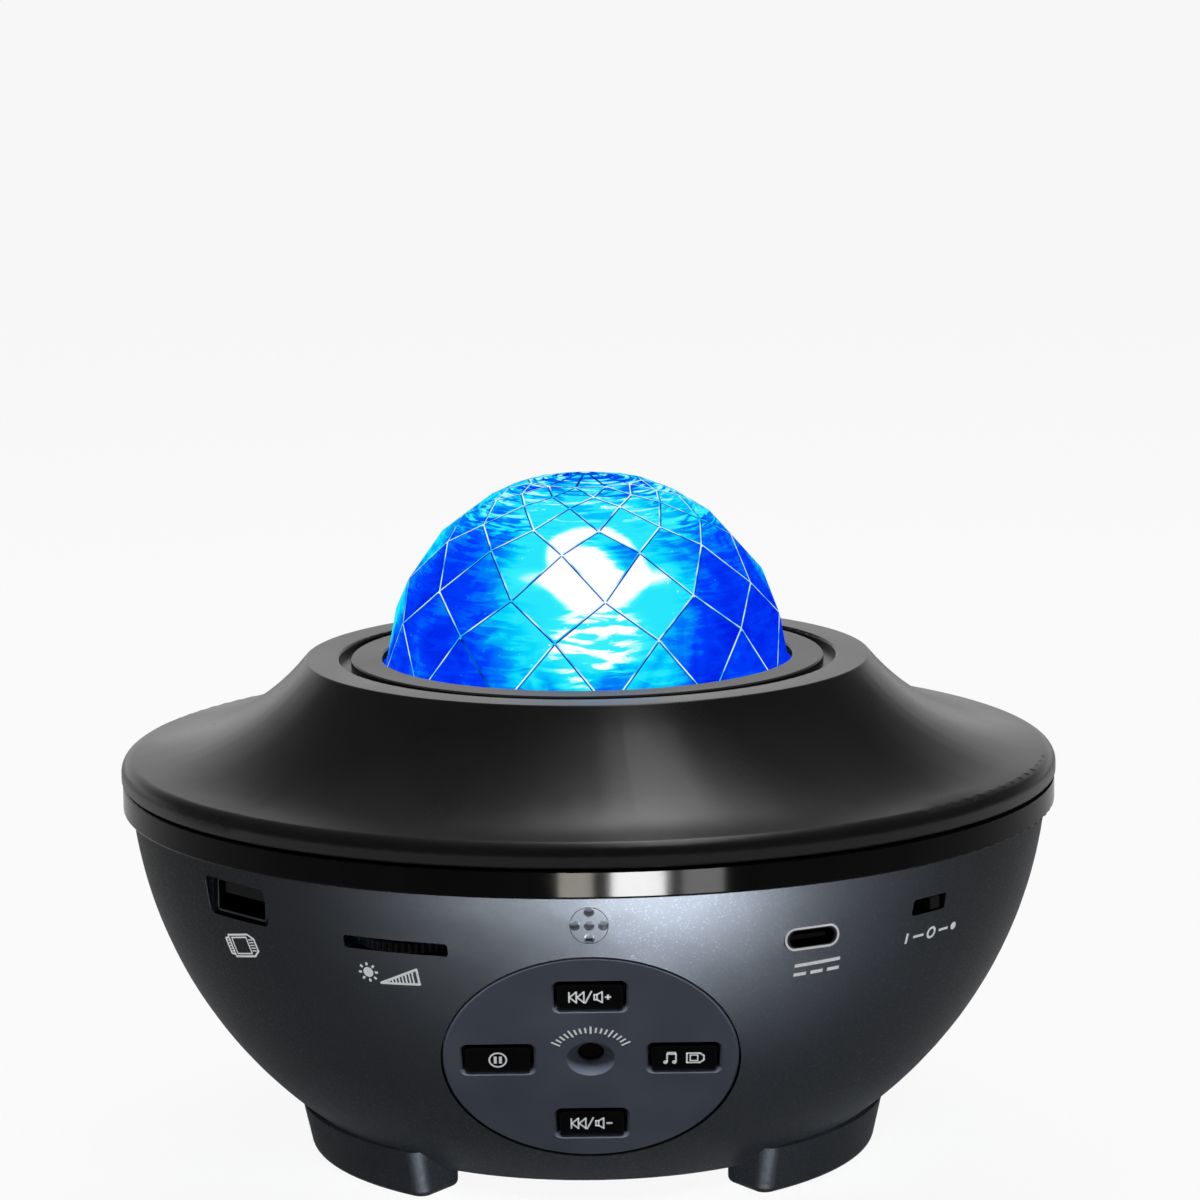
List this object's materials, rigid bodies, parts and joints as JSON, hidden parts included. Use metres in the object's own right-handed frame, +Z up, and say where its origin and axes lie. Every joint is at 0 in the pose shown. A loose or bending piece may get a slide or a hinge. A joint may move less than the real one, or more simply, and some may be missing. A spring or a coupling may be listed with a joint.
{
  "type": "star night light projector",
  "caption": "Star night light projector: round bowl on moulded feet, flared lid and faceted light dome, front key panel, thumbwheel dimmer, mode switch and USB ports.",
  "frame": {"origin": "on the vertical axis of the bowl, at the underside of the foot pads", "axes": "+Z up along the dome's axis, -Y towards the keys, +X to the right seen from the keys"},
  "size_m": [0.1648, 0.1648, 0.12],
  "materials": {
    "bowl_plastic": "satin graphite paint with a fine sparkle",
    "lid_plastic": "fine matt black",
    "band_plastic": "black chrome, mirror gloss",
    "bezel_plastic": "satin",
    "dome_acrylic": "clear moulded acrylic, lit blue from inside",
    "panel_plastic": "satin blue-black",
    "key_plastic": "gloss black",
    "window_plastic": "dark red filter",
    "black_plastic": "moulded black",
    "inner_plastic": "natural white moulding",
    "gear_plastic": "acetal",
    "clear_plastic": "clear moulding",
    "circuit_board": "green solder mask",
    "white_board": "white solder mask",
    "led_chip": "lit chips",
    "steel": "zinc plated",
    "port_metal": "nickel plated",
    "aluminium": "turned",
    "brass": "turned",
    "magnet": "ferrite",
    "paper_cone": "black paper",
    "rubber": "matt"
  },
  "bodies": {
    "root": {"bowl_housing": "bowl_plastic", "foot_pads": "rubber", "case_screws": "steel", "trim_band": "band_plastic", "lid": "lid_plastic", "dome_bezel": "bezel_plastic", "faceted_dome": "dome_acrylic", "lamp_deck": "inner_plastic", "deck_screws": "steel", "rotor_retainer": "inner_plastic", "gear_motor": "steel", "motor_screws": "steel", "heat_sink": "aluminium", "led_board": "white_board", "led_chips": "led_chip", "led_lens": "clear_plastic", "laser_module": "brass", "laser_grating": "clear_plastic", "control_panel": "panel_plastic", "button_board": "circuit_board", "tact_switches": "black_plastic", "ir_receiver": "black_plastic", "ir_window": "window_plastic", "panel_screws": "steel", "main_board": "circuit_board", "board_screws": "steel", "board_parts": "black_plastic", "usb_socket": "port_metal", "usb_tongue": "black_plastic", "usb_c_socket": "port_metal", "usb_c_tongue": "black_plastic", "dimmer_body": "black_plastic", "dimmer_clip": "steel", "power_switch_body": "black_plastic", "mic_insert": "bowl_plastic", "microphone": "aluminium", "speaker_grille": "black_plastic", "speaker_basket": "steel", "speaker_magnet": "magnet", "speaker_surround": "rubber", "speaker_screws": "steel"},
    "rotor": {"drive_gear": "gear_plastic", "ripple_lens": "clear_plastic"},
    "pinion": {"motor_shaft": "steel", "motor_pinion": "gear_plastic"},
    "dimmer": {"dimmer_wheel": "black_plastic"},
    "switch_knob": {"power_switch_slider": "black_plastic"},
    "key_up": {"button_up": "key_plastic"},
    "key_down": {"button_down": "key_plastic"},
    "key_left": {"button_left": "key_plastic"},
    "key_right": {"button_right": "key_plastic"},
    "speaker_diaphragm": {"speaker_cone": "paper_cone"}
  },
  "joints": [
    {"name": "rotor_spin", "type": "hinge", "parent": "root", "child": "rotor", "pos_m": [0, 0, 0.074], "axis": [0, 0, 1], "continuous": true},
    {"name": "pinion_spin", "type": "hinge", "parent": "root", "child": "pinion", "pos_m": [0.03118, 0.018, 0.072], "axis": [0, 0, 1], "continuous": true},
    {"name": "dimmer_turn", "type": "hinge", "parent": "root", "child": "dimmer", "pos_m": [-0.02805, -0.0639, 0.0525], "axis": [0, 0, 1], "range_deg": [-135, 135]},
    {"name": "switch_slide", "type": "slide", "parent": "root", "child": "switch_knob", "axis": [0.7034, 0.7108, 0], "range_m": [-0.003, 0]},
    {"name": "key_up_press", "type": "slide", "parent": "root", "child": "key_up", "axis": [0, 0.8527, 0.5225], "range_m": [0, 0.0006], "stiffness_N_per_m": 1500},
    {"name": "key_down_press", "type": "slide", "parent": "root", "child": "key_down", "axis": [0, 0.8527, 0.5225], "range_m": [0, 0.0006], "stiffness_N_per_m": 1500},
    {"name": "key_left_press", "type": "slide", "parent": "root", "child": "key_left", "axis": [0, 0.8527, 0.5225], "range_m": [0, 0.0006], "stiffness_N_per_m": 1500},
    {"name": "key_right_press", "type": "slide", "parent": "root", "child": "key_right", "axis": [0, 0.8527, 0.5225], "range_m": [0, 0.0006], "stiffness_N_per_m": 1500},
    {"name": "diaphragm_travel", "type": "slide", "parent": "root", "child": "speaker_diaphragm", "axis": [0, 0, 1], "range_m": [-0.0005, 0.0005], "stiffness_N_per_m": 800, "deforming": ["speaker_surround"]}
  ],
  "couplings": [
    {"joint": "pinion_spin", "follows": "rotor_spin", "ratio": -4}
  ]
}
